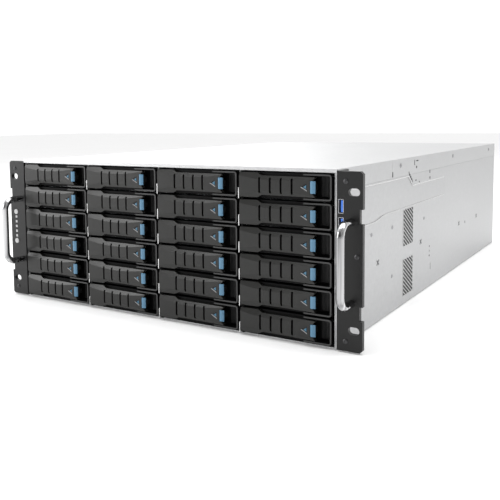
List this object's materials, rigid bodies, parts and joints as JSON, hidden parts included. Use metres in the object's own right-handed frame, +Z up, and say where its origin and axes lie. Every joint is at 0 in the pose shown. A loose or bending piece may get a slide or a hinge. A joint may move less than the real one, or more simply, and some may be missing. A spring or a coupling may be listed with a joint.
{
  "type": "rack-mount storage server",
  "caption": "Four-unit rack storage server: steel chassis, front bays of lever-latched drive carriers, eared handles, sliding rear cover and rear power modules.",
  "frame": {"origin": "bottom centre of the whole object, front handles and rear grips included", "axes": "+X to the right seen from the front, +Y from the front to the rear, +Z up"},
  "size_m": [0.4826, 0.759, 0.176],
  "materials": {
    "galvanised_steel": "galvanised, satin",
    "cover_paint": "pale, matte",
    "ear_paint": "dark grey, satin",
    "handle_chrome": "polished",
    "button_plastic": "satin",
    "window_plastic": "translucent, satin",
    "port_metal": "nickel plated",
    "carrier_plastic": "black, fine grain",
    "lever_plastic": "dark grey, satin",
    "release_plastic": "blue, satin",
    "board_laminate": "green solder mask",
    "fan_plastic": "black",
    "sink_aluminium": "extruded, bare",
    "supply_case": "plated sheet, satin",
    "screw_steel": "blackened"
  },
  "bodies": {
    "enclosure": {"chassis": "galvanised_steel", "front_cover": "cover_paint", "drive_cage": "galvanised_steel", "backplane": "board_laminate", "left_ear": "ear_paint", "right_ear": "ear_paint", "left_handle": "handle_chrome", "right_handle": "handle_chrome", "indicator_windows": "window_plastic", "usb_ports": "port_metal", "fan_wall": "fan_plastic", "main_board": "board_laminate", "heat_sinks": "sink_aluminium", "memory_modules": "board_laminate", "slot_brackets": "galvanised_steel", "screws": "screw_steel"},
    "rear_cover": {"rear_cover": "cover_paint"},
    "power_supply_1": {"power_supply_1": "supply_case"},
    "power_supply_2": {"power_supply_2": "supply_case"},
    "lever_r1": {"lever_r1": "lever_plastic"},
    "lever_r2": {"lever_r2": "lever_plastic"},
    "lever_r3": {"lever_r3": "lever_plastic"},
    "lever_r4": {"lever_r4": "lever_plastic"},
    "lever_r5": {"lever_r5": "lever_plastic"},
    "lever_r6": {"lever_r6": "lever_plastic"},
    "release_button_r1": {"release_button_r1": "release_plastic"},
    "release_button_r2": {"release_button_r2": "release_plastic"},
    "release_button_r3": {"release_button_r3": "release_plastic"},
    "release_button_r4": {"release_button_r4": "release_plastic"},
    "release_button_r5": {"release_button_r5": "release_plastic"},
    "release_button_r6": {"release_button_r6": "release_plastic"},
    "carrier_r1_c1": {"carrier_r1_c1": "carrier_plastic"},
    "carrier_r1_c2": {"carrier_r1_c2": "carrier_plastic"},
    "carrier_r1_c3": {"carrier_r1_c3": "carrier_plastic"},
    "carrier_r1_c4": {"carrier_r1_c4": "carrier_plastic"},
    "carrier_r2_c1": {"carrier_r2_c1": "carrier_plastic"},
    "carrier_r2_c2": {"carrier_r2_c2": "carrier_plastic"},
    "carrier_r2_c3": {"carrier_r2_c3": "carrier_plastic"},
    "carrier_r2_c4": {"carrier_r2_c4": "carrier_plastic"},
    "carrier_r3_c1": {"carrier_r3_c1": "carrier_plastic"},
    "carrier_r3_c2": {"carrier_r3_c2": "carrier_plastic"},
    "carrier_r3_c3": {"carrier_r3_c3": "carrier_plastic"},
    "carrier_r3_c4": {"carrier_r3_c4": "carrier_plastic"},
    "carrier_r4_c1": {"carrier_r4_c1": "carrier_plastic"},
    "carrier_r4_c2": {"carrier_r4_c2": "carrier_plastic"},
    "carrier_r4_c3": {"carrier_r4_c3": "carrier_plastic"},
    "carrier_r4_c4": {"carrier_r4_c4": "carrier_plastic"},
    "carrier_r5_c1": {"carrier_r5_c1": "carrier_plastic"},
    "carrier_r5_c2": {"carrier_r5_c2": "carrier_plastic"},
    "carrier_r5_c3": {"carrier_r5_c3": "carrier_plastic"},
    "carrier_r5_c4": {"carrier_r5_c4": "carrier_plastic"},
    "carrier_r6_c1": {"carrier_r6_c1": "carrier_plastic"},
    "carrier_r6_c2": {"carrier_r6_c2": "carrier_plastic"},
    "carrier_r6_c3": {"carrier_r6_c3": "carrier_plastic"},
    "carrier_r6_c4": {"carrier_r6_c4": "carrier_plastic"},
    "power_button": {"power_button": "button_plastic"},
    "reset_button": {"reset_button": "button_plastic"},
    "fan_rotor_1": {"fan_rotor_1": "fan_plastic"},
    "fan_rotor_2": {"fan_rotor_2": "fan_plastic"},
    "fan_rotor_3": {"fan_rotor_3": "fan_plastic"}
  },
  "joints": [
    {"name": "rear_cover_slide", "type": "slide", "parent": "enclosure", "child": "rear_cover", "axis": [0, 1, 0], "range_m": [0, 0.015]},
    {"name": "power_supply_1_slide", "type": "slide", "parent": "enclosure", "child": "power_supply_1", "axis": [0, 1, 0], "range_m": [0, 0.16]},
    {"name": "power_supply_2_slide", "type": "slide", "parent": "enclosure", "child": "power_supply_2", "axis": [0, 1, 0], "range_m": [0, 0.16]},
    {"name": "lever_r1_hinge", "type": "hinge", "parent": "carrier_r1_c4", "child": "lever_r1", "pos_m": [0.11085, -0.3485, 0.1578], "axis": [0, 0, -1], "range_deg": [0, 60]},
    {"name": "lever_r2_hinge", "type": "hinge", "parent": "carrier_r2_c4", "child": "lever_r2", "pos_m": [0.11085, -0.3485, 0.1294], "axis": [0, 0, -1], "range_deg": [0, 60]},
    {"name": "lever_r3_hinge", "type": "hinge", "parent": "carrier_r3_c4", "child": "lever_r3", "pos_m": [0.11085, -0.3485, 0.101], "axis": [0, 0, -1], "range_deg": [0, 60]},
    {"name": "lever_r4_hinge", "type": "hinge", "parent": "carrier_r4_c4", "child": "lever_r4", "pos_m": [0.11085, -0.3485, 0.0726], "axis": [0, 0, -1], "range_deg": [0, 60]},
    {"name": "lever_r5_hinge", "type": "hinge", "parent": "carrier_r5_c4", "child": "lever_r5", "pos_m": [0.11085, -0.3485, 0.0442], "axis": [0, 0, -1], "range_deg": [0, 60]},
    {"name": "lever_r6_hinge", "type": "hinge", "parent": "carrier_r6_c4", "child": "lever_r6", "pos_m": [0.11085, -0.3485, 0.0158], "axis": [0, 0, -1], "range_deg": [0, 60]},
    {"name": "release_button_r1_press", "type": "slide", "parent": "lever_r1", "child": "release_button_r1", "axis": [0, 1, 0], "range_m": [0, 0.0025], "stiffness_N_per_m": 300, "springref_m": -0.001},
    {"name": "release_button_r2_press", "type": "slide", "parent": "lever_r2", "child": "release_button_r2", "axis": [0, 1, 0], "range_m": [0, 0.0025], "stiffness_N_per_m": 300, "springref_m": -0.001},
    {"name": "release_button_r3_press", "type": "slide", "parent": "lever_r3", "child": "release_button_r3", "axis": [0, 1, 0], "range_m": [0, 0.0025], "stiffness_N_per_m": 300, "springref_m": -0.001},
    {"name": "release_button_r4_press", "type": "slide", "parent": "lever_r4", "child": "release_button_r4", "axis": [0, 1, 0], "range_m": [0, 0.0025], "stiffness_N_per_m": 300, "springref_m": -0.001},
    {"name": "release_button_r5_press", "type": "slide", "parent": "lever_r5", "child": "release_button_r5", "axis": [0, 1, 0], "range_m": [0, 0.0025], "stiffness_N_per_m": 300, "springref_m": -0.001},
    {"name": "release_button_r6_press", "type": "slide", "parent": "lever_r6", "child": "release_button_r6", "axis": [0, 1, 0], "range_m": [0, 0.0025], "stiffness_N_per_m": 300, "springref_m": -0.001},
    {"name": "power_button_press", "type": "slide", "parent": "enclosure", "child": "power_button", "axis": [0, 1, 0], "range_m": [0, 0.001], "stiffness_N_per_m": 600, "springref_m": -0.0005},
    {"name": "reset_button_press", "type": "slide", "parent": "enclosure", "child": "reset_button", "axis": [0, 1, 0], "range_m": [0, 0.001], "stiffness_N_per_m": 600, "springref_m": -0.0005},
    {"name": "fan_rotor_1_spin", "type": "hinge", "parent": "enclosure", "child": "fan_rotor_1", "pos_m": [-0.138, -0.0885, 0.063], "axis": [0, 1, 0], "continuous": true},
    {"name": "fan_rotor_2_spin", "type": "hinge", "parent": "enclosure", "child": "fan_rotor_2", "pos_m": [0, -0.0885, 0.063], "axis": [0, 1, 0], "continuous": true},
    {"name": "fan_rotor_3_spin", "type": "hinge", "parent": "enclosure", "child": "fan_rotor_3", "pos_m": [0.138, -0.0885, 0.063], "axis": [0, 1, 0], "continuous": true},
    {"name": "carrier_r1_c4_slide", "type": "slide", "parent": "enclosure", "child": "carrier_r1_c4", "axis": [0, -1, 0], "range_m": [0, 0.16]},
    {"name": "carrier_r2_c4_slide", "type": "slide", "parent": "enclosure", "child": "carrier_r2_c4", "axis": [0, -1, 0], "range_m": [0, 0.16]},
    {"name": "carrier_r3_c4_slide", "type": "slide", "parent": "enclosure", "child": "carrier_r3_c4", "axis": [0, -1, 0], "range_m": [0, 0.16]},
    {"name": "carrier_r4_c4_slide", "type": "slide", "parent": "enclosure", "child": "carrier_r4_c4", "axis": [0, -1, 0], "range_m": [0, 0.16]},
    {"name": "carrier_r5_c4_slide", "type": "slide", "parent": "enclosure", "child": "carrier_r5_c4", "axis": [0, -1, 0], "range_m": [0, 0.16]},
    {"name": "carrier_r6_c4_slide", "type": "slide", "parent": "enclosure", "child": "carrier_r6_c4", "axis": [0, -1, 0], "range_m": [0, 0.16]},
    {"name": "carrier_r1_c3_slide", "type": "slide", "parent": "enclosure", "child": "carrier_r1_c3", "axis": [0, -1, 0], "range_m": [0, 0.16]},
    {"name": "carrier_r2_c3_slide", "type": "slide", "parent": "enclosure", "child": "carrier_r2_c3", "axis": [0, -1, 0], "range_m": [0, 0.16]},
    {"name": "carrier_r3_c3_slide", "type": "slide", "parent": "enclosure", "child": "carrier_r3_c3", "axis": [0, -1, 0], "range_m": [0, 0.16]},
    {"name": "carrier_r4_c3_slide", "type": "slide", "parent": "enclosure", "child": "carrier_r4_c3", "axis": [0, -1, 0], "range_m": [0, 0.16]},
    {"name": "carrier_r5_c3_slide", "type": "slide", "parent": "enclosure", "child": "carrier_r5_c3", "axis": [0, -1, 0], "range_m": [0, 0.16]},
    {"name": "carrier_r6_c3_slide", "type": "slide", "parent": "enclosure", "child": "carrier_r6_c3", "axis": [0, -1, 0], "range_m": [0, 0.16]},
    {"name": "carrier_r1_c2_slide", "type": "slide", "parent": "enclosure", "child": "carrier_r1_c2", "axis": [0, -1, 0], "range_m": [0, 0.16]},
    {"name": "carrier_r2_c2_slide", "type": "slide", "parent": "enclosure", "child": "carrier_r2_c2", "axis": [0, -1, 0], "range_m": [0, 0.16]},
    {"name": "carrier_r3_c2_slide", "type": "slide", "parent": "enclosure", "child": "carrier_r3_c2", "axis": [0, -1, 0], "range_m": [0, 0.16]},
    {"name": "carrier_r4_c2_slide", "type": "slide", "parent": "enclosure", "child": "carrier_r4_c2", "axis": [0, -1, 0], "range_m": [0, 0.16]},
    {"name": "carrier_r5_c2_slide", "type": "slide", "parent": "enclosure", "child": "carrier_r5_c2", "axis": [0, -1, 0], "range_m": [0, 0.16]},
    {"name": "carrier_r6_c2_slide", "type": "slide", "parent": "enclosure", "child": "carrier_r6_c2", "axis": [0, -1, 0], "range_m": [0, 0.16]},
    {"name": "carrier_r1_c1_slide", "type": "slide", "parent": "enclosure", "child": "carrier_r1_c1", "axis": [0, -1, 0], "range_m": [0, 0.16]},
    {"name": "carrier_r2_c1_slide", "type": "slide", "parent": "enclosure", "child": "carrier_r2_c1", "axis": [0, -1, 0], "range_m": [0, 0.16]},
    {"name": "carrier_r3_c1_slide", "type": "slide", "parent": "enclosure", "child": "carrier_r3_c1", "axis": [0, -1, 0], "range_m": [0, 0.16]},
    {"name": "carrier_r4_c1_slide", "type": "slide", "parent": "enclosure", "child": "carrier_r4_c1", "axis": [0, -1, 0], "range_m": [0, 0.16]},
    {"name": "carrier_r5_c1_slide", "type": "slide", "parent": "enclosure", "child": "carrier_r5_c1", "axis": [0, -1, 0], "range_m": [0, 0.16]},
    {"name": "carrier_r6_c1_slide", "type": "slide", "parent": "enclosure", "child": "carrier_r6_c1", "axis": [0, -1, 0], "range_m": [0, 0.16]}
  ]
}
